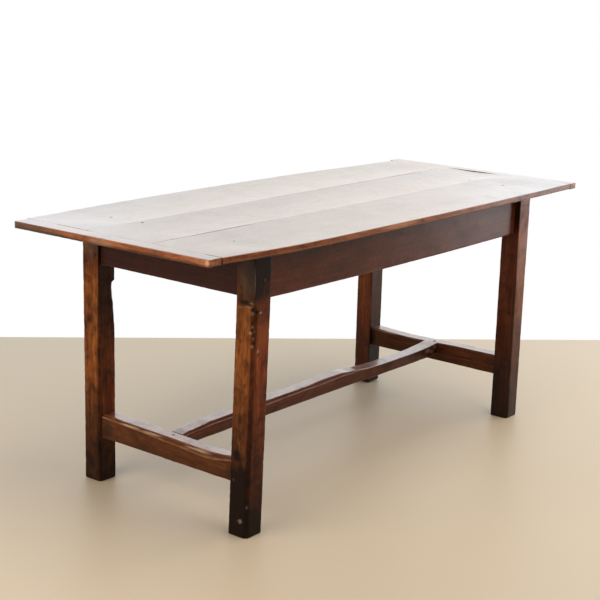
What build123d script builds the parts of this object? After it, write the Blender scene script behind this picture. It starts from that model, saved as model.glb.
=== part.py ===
from build123d import *
import os

# Farmhouse table: three bowed planks with cleated ends on a pegged oak frame.
# Millimetres. X runs along the table, the front long side faces -Y, Z is up, and the
# origin is on the floor under the middle of the top. left is -X and back is +Y.

os.makedirs("parts", exist_ok=True)

# The whole table
table_height = 760
top_thickness = 19
top_width = 750  # across the widest part of the bow
frame_length = 1336  # over the outer faces of the legs
frame_width = 620

# Fit of the joints
play = 0.15  # left all round a tenon, a tongue or a peg
shrinkage = 0.8  # open line that dry boards leave beside each other
overrun = 4  # how far a cut runs past the wood that it leaves

# Top: distance from the table's middle to the cleats' outer edges and to the shoulders
left_end_front = 865
left_end_back = 878
right_end_front = 870
right_end_back = 878
left_shoulder_front = 820
left_shoulder_back = 827
right_shoulder_front = 827
right_shoulder_back = 831
front_joint = -112  # y of the line between the front and middle planks
back_joint = 118  # y of the line between the middle and back planks

# Outer edges of the planks: share of the way to the shoulder, share of half the width
front_edge_shares = ((-1, 0.907), (-0.69, 0.979), (-0.18, 0.998), (0.3, 1), (0.67, 0.985), (1, 0.968))
back_edge_shares = ((-1, 0.925), (-0.57, 0.981), (-0.1, 1), (0.41, 0.981), (0.77, 0.927), (1, 0.909))
plank_upper_arris = 2  # radius worn on the upper edge
plank_lower_arris = 6

# Cleats
left_cleat_front = 338  # distance from the middle to the cleat's front end
left_cleat_back = 341
right_cleat_front = 363
right_cleat_back = 350
cleat_corner = 7
cleat_arris = 2

# Tongues of the top
tongue_thickness = 6.5
end_tongue_length = 20
end_tongue_stop = 26  # the end tongue starts this far inside the outer edge
edge_tongue_length = 8

# Legs
leg_side = 61
front_left_lean = 19  # the foot of the front left leg stands this far out
foot_wear = 3
worn_foot_wear = 8  # the back right foot is worn rounder
chamfer_depth = 6  # square to the chamfer, on one arris of each leg
front_left_depth = 7.4
softened_depth = 1.6  # on the other arrises
wane_depth = 9.2  # bark edge left on one arris of the back left leg

# Chamfers: share of the height under the rails, share of the depth
chamfer_shares = ((-0.03, 1.1), (0.25, 1), (0.5, 1), (0.7, 0.9), (0.81, 0.65), (0.89, 0.3), (0.95, 0))
softened_shares = ((-0.03, 1.1), (0.4, 1), (0.75, 0.9), (0.9, 0.5), (0.98, 0))
front_left_shares = (
    (-0.03, 0.92), (0.3, 1), (0.6, 1), (0.82, 1.05), (0.88, 1.3), (0.94, 1.42), (0.975, 1.15), (1, 0),
)
wane_shares = ((0.702, 0), (0.76, 0.28), (0.816, 0.6), (0.86, 1), (0.89, 0.95), (0.925, 0.45), (0.979, 0))

# Rails under the top
rail_thickness = 24
long_rail_height = 126
long_rail_setback = 17.5  # behind the legs' outer faces
long_rail_sag = 4
end_rail_height = 117
end_rail_setback = 9.5
rail_arris = 1.5

# Rail tenons
rail_tenon_thickness = 10
rail_tenon_setback = 6  # from the rail's outer face to the tenon's cheek
long_tenon_length = 42
end_tenon_length = 24
tenon_lower_shoulder = 12
tenon_upper_shoulder = 26

# End stretchers
left_stretcher_bottom = 130
left_stretcher_height = 67
left_stretcher_thickness = 42
right_stretcher_bottom = 140
right_stretcher_height = 63.5
right_stretcher_thickness = 46
stretcher_setback = 9  # behind the legs' outer faces
stretcher_chamfer = 10  # on the arris that feet have worn
stretcher_arris = 2
stretcher_tenon_thickness = 16
stretcher_tenon_length = 36
stretcher_tenon_shoulder = 9
left_tread_wear = 5.5  # hollow that feet have worn in the top
right_tread_wear = 5

# Hollows: share of the length between the legs, share of the wear
left_tread_shares = ((0.03, 0), (0.12, 0.5), (0.22, 1), (0.33, 0.74), (0.46, 0.5), (0.67, 0.25), (0.92, 0))
right_tread_shares = ((0.3, 0), (0.45, 0.4), (0.68, 1), (0.86, 0.55), (0.97, 0))

# Worn arris: share of the length between the legs, shares of the chamfer inward and downward
left_arris_shares = ((0, 0.6, 1.1), (0.2, 0.5, 2), (0.46, 0.5, 1.6), (0.76, 0.6, 1), (1, 0.7, 0.7))
right_arris_shares = ((0, 0.45, 0.45), (1, 0.45, 0.45))

# Middle stretcher
centre_stretcher_bottom = 164
centre_stretcher_height = 46  # at the crown of its arched top
centre_stretcher_thickness = 46
centre_stretcher_offset = -2.5  # y of its middle line
centre_crown = 12  # the top falls by this towards the ends
centre_tenon_thickness = 15
centre_tenon_width = 34
centre_tenon_length = 27
centre_tenon_shoulder = 6  # from its underside to the tenon

# Arched top: share of half the length, share of the crown that is gone there
crown_fall_shares = (
    (-1.02, 1), (-0.9, 0.98), (-0.67, 0.67), (-0.38, 0.42), (-0.01, 0),
    (0.3, 0.78), (0.46, 1), (0.74, 1), (1.02, 1),
)

# Pegs
peg_diameter = 10
peg_sides = 8
peg_taper = 0.6  # degrees
peg_proud = 0.5
long_rail_peg_inset = 26  # from the tenon's shoulder
long_rail_peg_rise = 55  # above the rail's underside
end_rail_peg_inset = 14
end_rail_peg_rise = 26
stretcher_peg_inset = 14
stretcher_peg_rise = 20  # above the stretcher's underside
centre_peg_inset = 17
leg_peg_depth = 52
centre_peg_depth = 46
top_peg_depth = 62
cleat_peg_diameter = 7
cleat_peg_depth = 15
outer_peg_inset = 29  # from the end of the end rail
joint_peg_inset = 16  # from the middle plank's edges

# Sizes that follow
top_underside = table_height - top_thickness
half_width = top_width / 2
leg_x = (frame_length - leg_side) / 2
leg_y = (frame_width - leg_side) / 2
inner_x = leg_x - leg_side / 2
inner_y = leg_y - leg_side / 2
long_rail_bottom = top_underside - long_rail_height
end_rail_bottom = top_underside - end_rail_height
long_rail_y = frame_width / 2 - long_rail_setback - rail_thickness / 2
end_rail_x = frame_length / 2 - end_rail_setback - rail_thickness / 2
tongue_bottom = top_underside + (top_thickness - tongue_thickness) / 2
groove_height = tongue_thickness + 2 * play
left, right, front, back = -1, 1, -1, 1


def finish(name, piece):
    piece.part.label = name
    export_step(piece.part, f"parts/{name}.step")


# Places of the two end stretchers

def stretcher_bottom(end):
    return left_stretcher_bottom if end == left else right_stretcher_bottom


def stretcher_height(end):
    return left_stretcher_height if end == left else right_stretcher_height


def stretcher_thickness(end):
    return left_stretcher_thickness if end == left else right_stretcher_thickness


def stretcher_x(end):
    # Distance from the middle of the table to an end stretcher's middle line.
    return (frame_length - stretcher_thickness(end)) / 2 - stretcher_setback


def stretcher_inner_face(end):
    return stretcher_x(end) - stretcher_thickness(end) / 2


# Curved cuts and hollows

def cut_along(base, length, depth, shares, width):
    # Takes away the wood between a plane's x axis and a curve of share points above it.
    with BuildSketch(base) as waste:
        with BuildLine():
            curve = Spline(*[(length * along, depth * deep) for along, deep in shares])
            ends = (curve @ 1, curve @ 0)
            Polyline(ends[0], (ends[0].X, -overrun), (ends[1].X, -overrun), ends[1])
        make_face()
    extrude(waste.sketch, amount=width, both=True, mode=Mode.SUBTRACT)


# Tenons and mortises. A shoulder is the plane where the tenon starts, with its z axis
# pointing into the piece that holds the mortise.

def add_tenon(shoulder, thickness, width, length):
    with BuildSketch(shoulder) as section:
        Rectangle(thickness, width)
    extrude(section.sketch, amount=length)


def cut_mortise(shoulder, thickness, width, length):
    with BuildSketch(shoulder) as section:
        Rectangle(thickness + 2 * play, width + 2 * play)
    extrude(section.sketch, amount=length + play, mode=Mode.SUBTRACT)


def rail_tenon_middle(rail_bottom):
    return (rail_bottom + tenon_lower_shoulder + top_underside - tenon_upper_shoulder) / 2


def rail_tenon_width(rail_height):
    return rail_height - tenon_lower_shoulder - tenon_upper_shoulder


def long_rail_tenon(side, end):
    cheek = frame_width / 2 - long_rail_setback - rail_tenon_setback
    y = side * (cheek - rail_tenon_thickness / 2)
    middle = (end * inner_x, y, rail_tenon_middle(long_rail_bottom))
    shoulder = Plane(origin=middle, x_dir=(0, 1, 0), z_dir=(end, 0, 0))
    return shoulder, rail_tenon_thickness, rail_tenon_width(long_rail_height), long_tenon_length


def end_rail_tenon(end, side):
    cheek = frame_length / 2 - end_rail_setback - rail_tenon_setback
    x = end * (cheek - rail_tenon_thickness / 2)
    middle = (x, side * inner_y, rail_tenon_middle(end_rail_bottom))
    shoulder = Plane(origin=middle, x_dir=(1, 0, 0), z_dir=(0, side, 0))
    return shoulder, rail_tenon_thickness, rail_tenon_width(end_rail_height), end_tenon_length


def stretcher_tenon(end, side):
    middle = (end * stretcher_x(end), side * inner_y, stretcher_bottom(end) + stretcher_height(end) / 2)
    shoulder = Plane(origin=middle, x_dir=(1, 0, 0), z_dir=(0, side, 0))
    width = stretcher_height(end) - 2 * stretcher_tenon_shoulder
    return shoulder, stretcher_tenon_thickness, width, stretcher_tenon_length


def centre_tenon(end):
    z = centre_stretcher_bottom + centre_tenon_shoulder + centre_tenon_thickness / 2
    middle = (end * stretcher_inner_face(end), centre_stretcher_offset, z)
    shoulder = Plane(origin=middle, x_dir=(0, 0, 1), z_dir=(end, 0, 0))
    return shoulder, centre_tenon_thickness, centre_tenon_width, centre_tenon_length


# Pegs. A seat is the plane of the wood's face, with its z axis pointing into the wood.

def add_peg(seat, diameter, length, proud):
    with BuildSketch(seat.offset(-proud)) as section:
        RegularPolygon(diameter / 2, peg_sides)
    extrude(section.sketch, amount=length + proud, taper=peg_taper)


def cut_peg_hole(seat, diameter, depth):
    # The hole has the flats that a driven peg presses into it.
    with BuildSketch(seat.offset(-overrun)) as section:
        RegularPolygon(diameter / 2 + play, peg_sides)
    extrude(section.sketch, amount=depth + play + overrun, mode=Mode.SUBTRACT)


def leg_lean(end, side, z):
    # How far a leg stands out along X at a height under the rails.
    lean = front_left_lean if (end, side) == (left, front) else 0
    return end * lean * max(0, long_rail_bottom - z) / long_rail_bottom


def long_rail_peg(side, end):
    x = end * (inner_x + long_rail_peg_inset)
    place = (x, side * frame_width / 2, long_rail_bottom + long_rail_peg_rise)
    return Plane(origin=place, x_dir=(1, 0, 0), z_dir=(0, -side, 0))


def end_rail_peg(end, side):
    y = side * (inner_y + end_rail_peg_inset)
    place = (end * frame_length / 2, y, end_rail_bottom + end_rail_peg_rise)
    return Plane(origin=place, x_dir=(0, 1, 0), z_dir=(-end, 0, 0))


def stretcher_peg(end, side):
    z = stretcher_bottom(end) + stretcher_peg_rise
    x = end * frame_length / 2 + leg_lean(end, side, z)
    y = side * (inner_y + stretcher_peg_inset)
    return Plane(origin=(x, y, z), x_dir=(0, 1, 0), z_dir=(-end, 0, 0))


def centre_peg(end):
    x = end * (stretcher_inner_face(end) + centre_peg_inset)
    place = (x, centre_stretcher_offset, stretcher_bottom(end) + stretcher_height(end))
    return Plane(origin=place, x_dir=(1, 0, 0), z_dir=(0, 0, -1))


def top_pegs(end):
    # Seats on the top over an end rail: one in each outer plank and two in the middle one.
    outer_row = inner_y - outer_peg_inset
    rows = (-outer_row, front_joint + joint_peg_inset, back_joint - joint_peg_inset, outer_row)
    places = [(end * end_rail_x, y, table_height) for y in rows]
    return [Plane(origin=place, x_dir=(1, 0, 0), z_dir=(0, 0, -1)) for place in places]


def cleat_pegs(end):
    # Seats under a cleat, one for each plank, through the middle of the tongue.
    edges = (-half_width, front_joint, back_joint, half_width)
    rows = [(low + high) / 2 for low, high in zip(edges, edges[1:])]
    places = [(end * (shoulder_x(end, y) + end_tongue_length / 2), y, top_underside) for y in rows]
    return [Plane(origin=place, x_dir=(1, 0, 0), z_dir=(0, 0, 1)) for place in places]


# The top. Its ends are not quite square, so places along X follow the y that they are at.

def across(front_value, back_value, y):
    return front_value + (back_value - front_value) * (y + half_width) / top_width


def shoulder_x(end, y):
    if end == left:
        return across(left_shoulder_front, left_shoulder_back, y)
    return across(right_shoulder_front, right_shoulder_back, y)


def end_x(end, y):
    if end == left:
        return across(left_end_front, left_end_back, y)
    return across(right_end_front, right_end_back, y)


def cleat_reach(end, side):
    # Distance from the middle of the top to one end of a cleat.
    if end == left:
        return left_cleat_front if side == front else left_cleat_back
    return right_cleat_front if side == front else right_cleat_back


def add_strip(bottom, thickness, rows, reach, mode=Mode.ADD):
    # A layer of the planks between two rows, ending a given reach past the shoulders.
    low, high = min(rows), max(rows)
    corners = ((left, low), (right, low), (right, high), (left, high))
    with BuildSketch(Plane.XY.offset(bottom)) as outline:
        Polygon(*[(end * (shoulder_x(end, y) + reach), y) for end, y in corners], align=None)
    extrude(outline.sketch, amount=thickness, mode=mode)


def add_end_block(end, bottom, thickness, rows, reach, start, mode=Mode.ADD):
    # A block along one shoulder, from a start inside it to a reach outside it.
    near = [(end * (shoulder_x(end, y) - start), y) for y in rows]
    far = [(end * (shoulder_x(end, y) + reach), y) for y in reversed(rows)]
    with BuildSketch(Plane.XY.offset(bottom)) as outline:
        Polygon(*near, *far, align=None)
    extrude(outline.sketch, amount=thickness, mode=mode)


def cut_top_holes():
    for end in (left, right):
        for seat in top_pegs(end):
            cut_peg_hole(seat, peg_diameter, top_peg_depth)
        for seat in cleat_pegs(end):
            cut_peg_hole(seat, cleat_peg_diameter, cleat_peg_depth)


def edge_point(side, along, out):
    y = side * half_width * out
    return along * shoulder_x(left if along < 0 else right, y), y


def outer_plank(side, joint, edge_shares):
    inner_edge = joint + side * shrinkage / 2
    outward = Axis.Y if side == back else -Axis.Y
    with BuildPart() as plank:
        with BuildSketch(Plane.XY.offset(top_underside)):
            with BuildLine():
                bow = Spline(*[edge_point(side, along, out) for along, out in edge_shares])
                corners = [(end * shoulder_x(end, inner_edge), inner_edge) for end in (right, left)]
                Polyline(bow @ 1, *corners, bow @ 0)
            make_face()
        extrude(amount=top_thickness)
        upper_face = plank.faces().sort_by(Axis.Z)[-1]
        fillet(upper_face.edges().sort_by(outward)[-1], radius=plank_upper_arris)
        lower_face = plank.faces().sort_by(Axis.Z)[0]
        fillet(lower_face.edges().sort_by(outward)[-1], radius=plank_lower_arris)
        for end in (left, right):
            tongue_rows = (side * (cleat_reach(end, side) - end_tongue_stop), inner_edge)
            add_end_block(end, tongue_bottom, tongue_thickness, tongue_rows, end_tongue_length, overrun)
        groove_rows = (joint + side * (edge_tongue_length + play), joint - side * overrun)
        groove_reach = end_tongue_length + overrun
        add_strip(tongue_bottom - play, groove_height, groove_rows, groove_reach, Mode.SUBTRACT)
        cut_top_holes()
    return plank


finish("plank_front", outer_plank(front, front_joint, front_edge_shares))
finish("plank_back", outer_plank(back, back_joint, back_edge_shares))

with BuildPart() as plank_middle:
    body_rows = (front_joint + shrinkage / 2, back_joint - shrinkage / 2)
    add_strip(top_underside, top_thickness, body_rows, 0)
    tongue_rows = (front_joint - edge_tongue_length, back_joint + edge_tongue_length)
    add_strip(tongue_bottom, tongue_thickness, tongue_rows, end_tongue_length)
    cut_top_holes()
finish("plank_middle", plank_middle)


def cleat(end):
    rows = (-cleat_reach(end, front), cleat_reach(end, back))
    inward = Axis.X if end == left else -Axis.X
    with BuildPart() as piece:
        with BuildSketch(Plane.XY.offset(top_underside)) as outline:
            inner = [(end * (shoulder_x(end, y) + shrinkage), y) for y in rows]
            outer = [(end * end_x(end, y), y) for y in reversed(rows)]
            Polygon(*inner, *outer, align=None)
            fillet(outline.vertices().sort_by(inward)[:2], radius=cleat_corner)
        extrude(amount=top_thickness)
        flats = piece.faces().filter_by(Plane.XY)
        chamfer([edge for flat in flats for edge in flat.edges().sort_by(inward)[:-1]], length=cleat_arris)
        groove_rows = (rows[0] + end_tongue_stop - play, rows[1] - end_tongue_stop + play)
        groove_reach = end_tongue_length + play
        groove_bottom = tongue_bottom - play
        add_end_block(end, groove_bottom, groove_height, groove_rows, groove_reach, overrun, Mode.SUBTRACT)
        for seat in cleat_pegs(end):
            cut_peg_hole(seat, cleat_peg_diameter, cleat_peg_depth)
    return piece


finish("cleat_left", cleat(left))
finish("cleat_right", cleat(right))


# Legs

def cut_arris(end, side, corner, depth, depth_shares):
    # Takes an arris off a leg below the rails, by a depth square to the diagonal.
    x, y = (end * leg_x + corner[0] * leg_side / 2, side * leg_y + corner[1] * leg_side / 2)
    foot = Vector(x + leg_lean(end, side, 0), y, 0)
    upward = Vector(x, y, long_rail_bottom) - foot
    inward = Vector(-corner[0], -corner[1], 0)
    base = Plane(origin=foot, x_dir=upward, z_dir=upward.cross(inward))
    cut_along(base, upward.length, depth, depth_shares, 2 * depth)


def leg(end, side, wear, chamfered):
    x = end * leg_x
    lean = leg_lean(end, side, 0)
    top_points = [(x + half * leg_side / 2, top_underside) for half in (left, right)]
    bend_points = [(x + half * leg_side / 2, long_rail_bottom) for half in (right, left)]
    foot_points = [(x + half * leg_side / 2 + lean, 0) for half in (right, left)]
    with BuildPart() as piece:
        with BuildSketch(Plane.XZ.offset(-side * leg_y)):
            Polygon(*top_points, bend_points[0], *foot_points, bend_points[1], align=None)
        extrude(amount=leg_side / 2, both=True)
        chamfer(piece.faces().sort_by(Axis.Z)[0].edges(), length=wear)
        if (end, side) == (left, front):
            cut_arris(end, side, chamfered, front_left_depth, front_left_shares)
        else:
            cut_arris(end, side, chamfered, chamfer_depth, chamfer_shares)
        for corner in ((end, side), (end, -side), (-end, side)):
            if corner != chamfered:
                cut_arris(end, side, corner, softened_depth, softened_shares)
        if (end, side) == (left, back):
            cut_arris(end, side, (right, front), wane_depth, wane_shares)
        cut_mortise(*long_rail_tenon(side, end))
        cut_mortise(*end_rail_tenon(end, side))
        cut_mortise(*stretcher_tenon(end, side))
        for seat in (long_rail_peg(side, end), end_rail_peg(end, side), stretcher_peg(end, side)):
            cut_peg_hole(seat, peg_diameter, leg_peg_depth)
    return piece


finish("leg_front_left", leg(left, front, foot_wear, chamfered=(left, front)))
finish("leg_front_right", leg(right, front, foot_wear, chamfered=(left, front)))
finish("leg_back_left", leg(left, back, foot_wear, chamfered=(left, front)))
finish("leg_back_right", leg(right, back, worn_foot_wear, chamfered=(right, back)))


# Rails under the top

def long_rail(side):
    with BuildPart() as rail:
        with BuildSketch(Plane.XZ.offset(-side * long_rail_y)):
            with BuildLine():
                ends = [(end * inner_x, long_rail_bottom) for end in (left, right)]
                sag = ThreePointArc(ends[0], (0, long_rail_bottom - long_rail_sag), ends[1])
                Polyline(sag @ 1, (inner_x, top_underside), (-inner_x, top_underside), sag @ 0)
            make_face()
        extrude(amount=rail_thickness / 2, both=True)
        lower_edges = rail.faces().sort_by(Axis.Z)[0].edges().sort_by(Axis.Y)
        chamfer([lower_edges[0], lower_edges[-1]], length=rail_arris)
        for end in (left, right):
            add_tenon(*long_rail_tenon(side, end))
            cut_peg_hole(long_rail_peg(side, end), peg_diameter, leg_peg_depth)
    return rail


def end_rail(end):
    with BuildPart() as rail:
        with BuildSketch(Plane.XY.offset(end_rail_bottom)):
            with Locations((end * end_rail_x, 0)):
                Rectangle(rail_thickness, 2 * inner_y)
        extrude(amount=end_rail_height)
        chamfer(rail.faces().sort_by(Axis.Z)[0].edges().filter_by(Axis.Y), length=rail_arris)
        for side in (front, back):
            add_tenon(*end_rail_tenon(end, side))
            cut_peg_hole(end_rail_peg(end, side), peg_diameter, leg_peg_depth)
        for seat in top_pegs(end):
            cut_peg_hole(seat, peg_diameter, top_peg_depth)
    return rail


finish("rail_front", long_rail(front))
finish("rail_back", long_rail(back))
finish("rail_left", end_rail(left))
finish("rail_right", end_rail(right))


# Stretchers

def wear_tread(end):
    # The hollow that feet have worn along the top of an end stretcher.
    start = (end * stretcher_x(end), -inner_y, stretcher_bottom(end) + stretcher_height(end))
    base = Plane(origin=start, x_dir=(0, 1, 0), z_dir=(-1, 0, 0))
    if end == left:
        cut_along(base, 2 * inner_y, left_tread_wear, left_tread_shares, left_stretcher_thickness)
    else:
        cut_along(base, 2 * inner_y, right_tread_wear, right_tread_shares, right_stretcher_thickness)


def wear_arris(end):
    # The arris on the -X side, worn to a bevel that changes along the stretcher.
    x = end * stretcher_x(end) - stretcher_thickness(end) / 2
    z = stretcher_bottom(end) + stretcher_height(end)
    shares = left_arris_shares if end == left else right_arris_shares
    sections = []
    for along, inward, downward in shares:
        place = (x, (2 * along - 1) * (inner_y + overrun), z)
        # The bevel runs on past the stretcher's top and side, to leave no sliver there.
        width = inward * stretcher_chamfer
        height = downward * stretcher_chamfer
        with BuildSketch(Plane(origin=place, x_dir=(1, 0, 0), z_dir=(0, -1, 0))) as section:
            Polygon((2 * width, height), (-width, height), (-width, -2 * height), align=None)
        sections.append(section.sketch)
    loft(sections, ruled=True, mode=Mode.SUBTRACT)


def end_stretcher(end):
    with BuildPart() as stretcher:
        with BuildSketch(Plane.XY.offset(stretcher_bottom(end))):
            with Locations((end * stretcher_x(end), 0)):
                Rectangle(stretcher_thickness(end), 2 * inner_y)
        extrude(amount=stretcher_height(end))
        lower_edges = stretcher.edges().filter_by(Axis.Y).group_by(Axis.Z)[0]
        chamfer(lower_edges, length=stretcher_arris)
        wear_arris(end)
        wear_tread(end)
        for side in (front, back):
            add_tenon(*stretcher_tenon(end, side))
            cut_peg_hole(stretcher_peg(end, side), peg_diameter, leg_peg_depth)
        cut_mortise(*centre_tenon(end))
        cut_peg_hole(centre_peg(end), peg_diameter, centre_peg_depth)
    return stretcher


finish("stretcher_left", end_stretcher(left))
finish("stretcher_right", end_stretcher(right))

with BuildPart() as stretcher_centre:
    low = centre_stretcher_bottom
    high = low + centre_stretcher_height
    half = centre_stretcher_thickness / 2
    chamfered = [(half, low), (half, high - centre_crown), (half - centre_crown, high)]
    mirrored = [(-across_half, z) for across_half, z in reversed(chamfered)]
    section = [(centre_stretcher_offset + across_half, z) for across_half, z in chamfered + mirrored]
    with BuildSketch(Plane.YZ.offset(-stretcher_inner_face(left))):
        Polygon(*section, align=None)
    extrude(amount=stretcher_inner_face(left) + stretcher_inner_face(right))
    chamfer(stretcher_centre.faces().sort_by(Axis.Z)[0].edges().filter_by(Axis.X), length=stretcher_arris)
    crown = Plane(origin=(0, centre_stretcher_offset, high), x_dir=(1, 0, 0), z_dir=(0, 1, 0))
    half_length = (stretcher_inner_face(left) + stretcher_inner_face(right)) / 2
    cut_along(crown, half_length, centre_crown, crown_fall_shares, centre_stretcher_thickness)
    for end in (left, right):
        add_tenon(*centre_tenon(end))
        cut_peg_hole(centre_peg(end), peg_diameter, centre_peg_depth)
finish("stretcher_centre", stretcher_centre)


# Pegs

for side, name in ((front, "front"), (back, "back")):
    with BuildPart() as pegs:
        for end in (left, right):
            add_peg(long_rail_peg(side, end), peg_diameter, leg_peg_depth, peg_proud)
    finish(f"pegs_rail_{name}", pegs)

for end, name in ((left, "left"), (right, "right")):
    with BuildPart() as rail_pegs:
        for side in (front, back):
            add_peg(end_rail_peg(end, side), peg_diameter, leg_peg_depth, peg_proud)
    finish(f"pegs_rail_{name}", rail_pegs)

    with BuildPart() as stretcher_pegs:
        for side in (front, back):
            add_peg(stretcher_peg(end, side), peg_diameter, leg_peg_depth, peg_proud)
    finish(f"pegs_stretcher_{name}", stretcher_pegs)

    with BuildPart() as plank_pegs:
        for seat in top_pegs(end):
            add_peg(seat, peg_diameter, top_peg_depth, 0)
    finish(f"pegs_top_{name}", plank_pegs)

    with BuildPart() as tongue_pegs:
        for seat in cleat_pegs(end):
            add_peg(seat, cleat_peg_diameter, cleat_peg_depth, 0)
    finish(f"pegs_cleat_{name}", tongue_pegs)

with BuildPart() as pegs_stretcher_centre:
    for end in (left, right):
        add_peg(centre_peg(end), peg_diameter, centre_peg_depth, 0)
        wear_tread(end)
finish("pegs_stretcher_centre", pegs_stretcher_centre)
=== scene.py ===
from functools import partial
from math import ceil, cos, pi, radians, sin, sqrt, tan

import bmesh
import bpy
from mathutils import Matrix, Vector, noise


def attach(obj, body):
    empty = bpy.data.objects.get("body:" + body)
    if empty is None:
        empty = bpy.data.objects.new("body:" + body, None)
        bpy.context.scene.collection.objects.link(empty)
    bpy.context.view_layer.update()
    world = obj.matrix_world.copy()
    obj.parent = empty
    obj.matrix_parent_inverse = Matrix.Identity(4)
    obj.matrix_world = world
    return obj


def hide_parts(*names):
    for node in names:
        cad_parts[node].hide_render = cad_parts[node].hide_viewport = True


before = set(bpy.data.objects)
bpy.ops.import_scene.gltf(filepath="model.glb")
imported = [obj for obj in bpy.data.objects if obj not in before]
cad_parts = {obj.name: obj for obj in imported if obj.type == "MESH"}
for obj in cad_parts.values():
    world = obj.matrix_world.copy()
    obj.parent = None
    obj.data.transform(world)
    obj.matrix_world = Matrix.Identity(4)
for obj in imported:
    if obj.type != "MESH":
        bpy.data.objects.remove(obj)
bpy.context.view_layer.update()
mm = 0.001
print("stage: frame loaded,", len(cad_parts), "nodes")

# Farmhouse table in old waxed oak: every node is replaced by a piece of the same size with a hand-worked
# surface. x runs along the top, the front is at -y. Lengths are in millimetres.


def mix(a, b, t):
    return a + (b - a) * t


def ease(t):
    t = min(1, max(0, t))
    return t * t * (3 - 2 * t)


def follow(table, at):
    # Value of a table of (place, value) rows at a place, eased between the rows.
    for (a, va), (b, vb) in zip(table, table[1:]):
        if at <= b:
            return mix(va, vb, ease((at - a) / (b - a)))
    return table[-1][1]


def smoothRow(table, at):
    # Smooth curve through the rows of a table, for edges that bow.
    last = len(table) - 1
    k = next((i for i in range(last) if at <= table[i + 1][0]), last - 1)
    (x0, y0), (x1, y1) = table[k], table[k + 1]

    def slope(i):
        low, high = table[max(0, i - 1)], table[min(last, i + 1)]
        return (high[1] - low[1]) / (high[0] - low[0])

    t, width = (at - x0) / (x1 - x0), x1 - x0
    return ((1 + 2 * t) * (1 - t) ** 2 * y0 + t * (1 - t) ** 2 * width * slope(k)
            + t * t * (3 - 2 * t) * y1 + t * t * (t - 1) * width * slope(k + 1))


def steps(low, high, gap, extra=()):
    # Places from low to high no further apart than gap, and some extra ones.
    count = max(1, ceil((high - low) / gap))
    places = {round(mix(low, high, i / count), 4) for i in range(count + 1)}
    places.update(round(e, 4) for e in extra if low <= e <= high)
    return sorted(places)


def uneven(x, y, z, seed=0.0):
    # Smooth noise between 0 and 1.
    return 0.5 + 0.5 * max(-1, min(1, 1.6 * noise.noise(Vector((x + seed, y - seed, z + 2 * seed)))))


def handCut(size, spread, *place):
    # Width of an arris or a chamfer cut by hand, uneven by a share either way.
    return size * (1 - spread + 2 * spread * uneven(*place))


def roundOff(radius, away):
    # How far a rounded end has drawn in at some distance from its tip.
    return radius * (1 - sqrt(max(0, 1 - (1 - min(1, away / radius)) ** 2)))


def linear(code, alpha=1.0):
    # sRGB hex to linear.
    channels = [int(code[i:i + 2], 16) / 255 for i in (1, 3, 5)]
    return (*[c / 12.92 if c <= 0.04045 else ((c + 0.055) / 1.055) ** 2.4 for c in channels], alpha)


def socket(sockets, key):
    # By its identifier, or else by name or number.
    return next((s for s in sockets if s.identifier == key), None) or sockets[key]


def addObject(name, data):
    made = bpy.data.objects.new(name, data)
    bpy.context.scene.collection.objects.link(made)
    return made


def addNode(tree, kind, settings=None, links=None):
    # A link is the (node, output) that feeds an input.
    node = tree.nodes.new("ShaderNode" + kind)
    for key, value in (settings or {}).items():
        if isinstance(key, str) and hasattr(node, key):
            setattr(node, key, value)
        else:
            socket(node.inputs, key).default_value = value
    for key, (source, output) in (links or {}).items():
        tree.links.new(socket(source.outputs, output), socket(node.inputs, key))
    return node


# Noise is drawn out along the length of the board.
alongGrain = {"X": (0.055, 1, 1), "Y": (1, 0.055, 1), "Z": (1, 1, 0.055)}
# The wood's noises: how strongly each is drawn out, its detail, roughness and distortion, and whether
# every board has its own. Their widths are in the looks.
woodNoises = {
    # growth rings cut lengthwise, 9 mm wide and 160 mm long, coarser than in real oak
    "ring": (1, 5, 0.62, 0.35, True),
    # open pores, 0.3 mm wide in real oak and drawn 2 mm wide so that they show
    "pore": (1, 2, 0.5, 0, False),
    # patches where polish and dirt have built up
    "patch": (0, 4, 0.65, 0.6, False),
    # clouds of paler wood, four times as long as they are wide
    "cloud": (0.5, 2, 0.5, 0, True),
    # smudges, twice as long as they are wide
    "smudge": (0.25, 3, 0.62, 0.5, False),
}
# What a mesh tells its finish: rubbed arrises, darkening that is partly dirt and partly painted shade,
# redness, pale bruises and painted highlights, and the board's number.
carried = ("arris", "grime", "ruddy", "bruise", "board")


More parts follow.
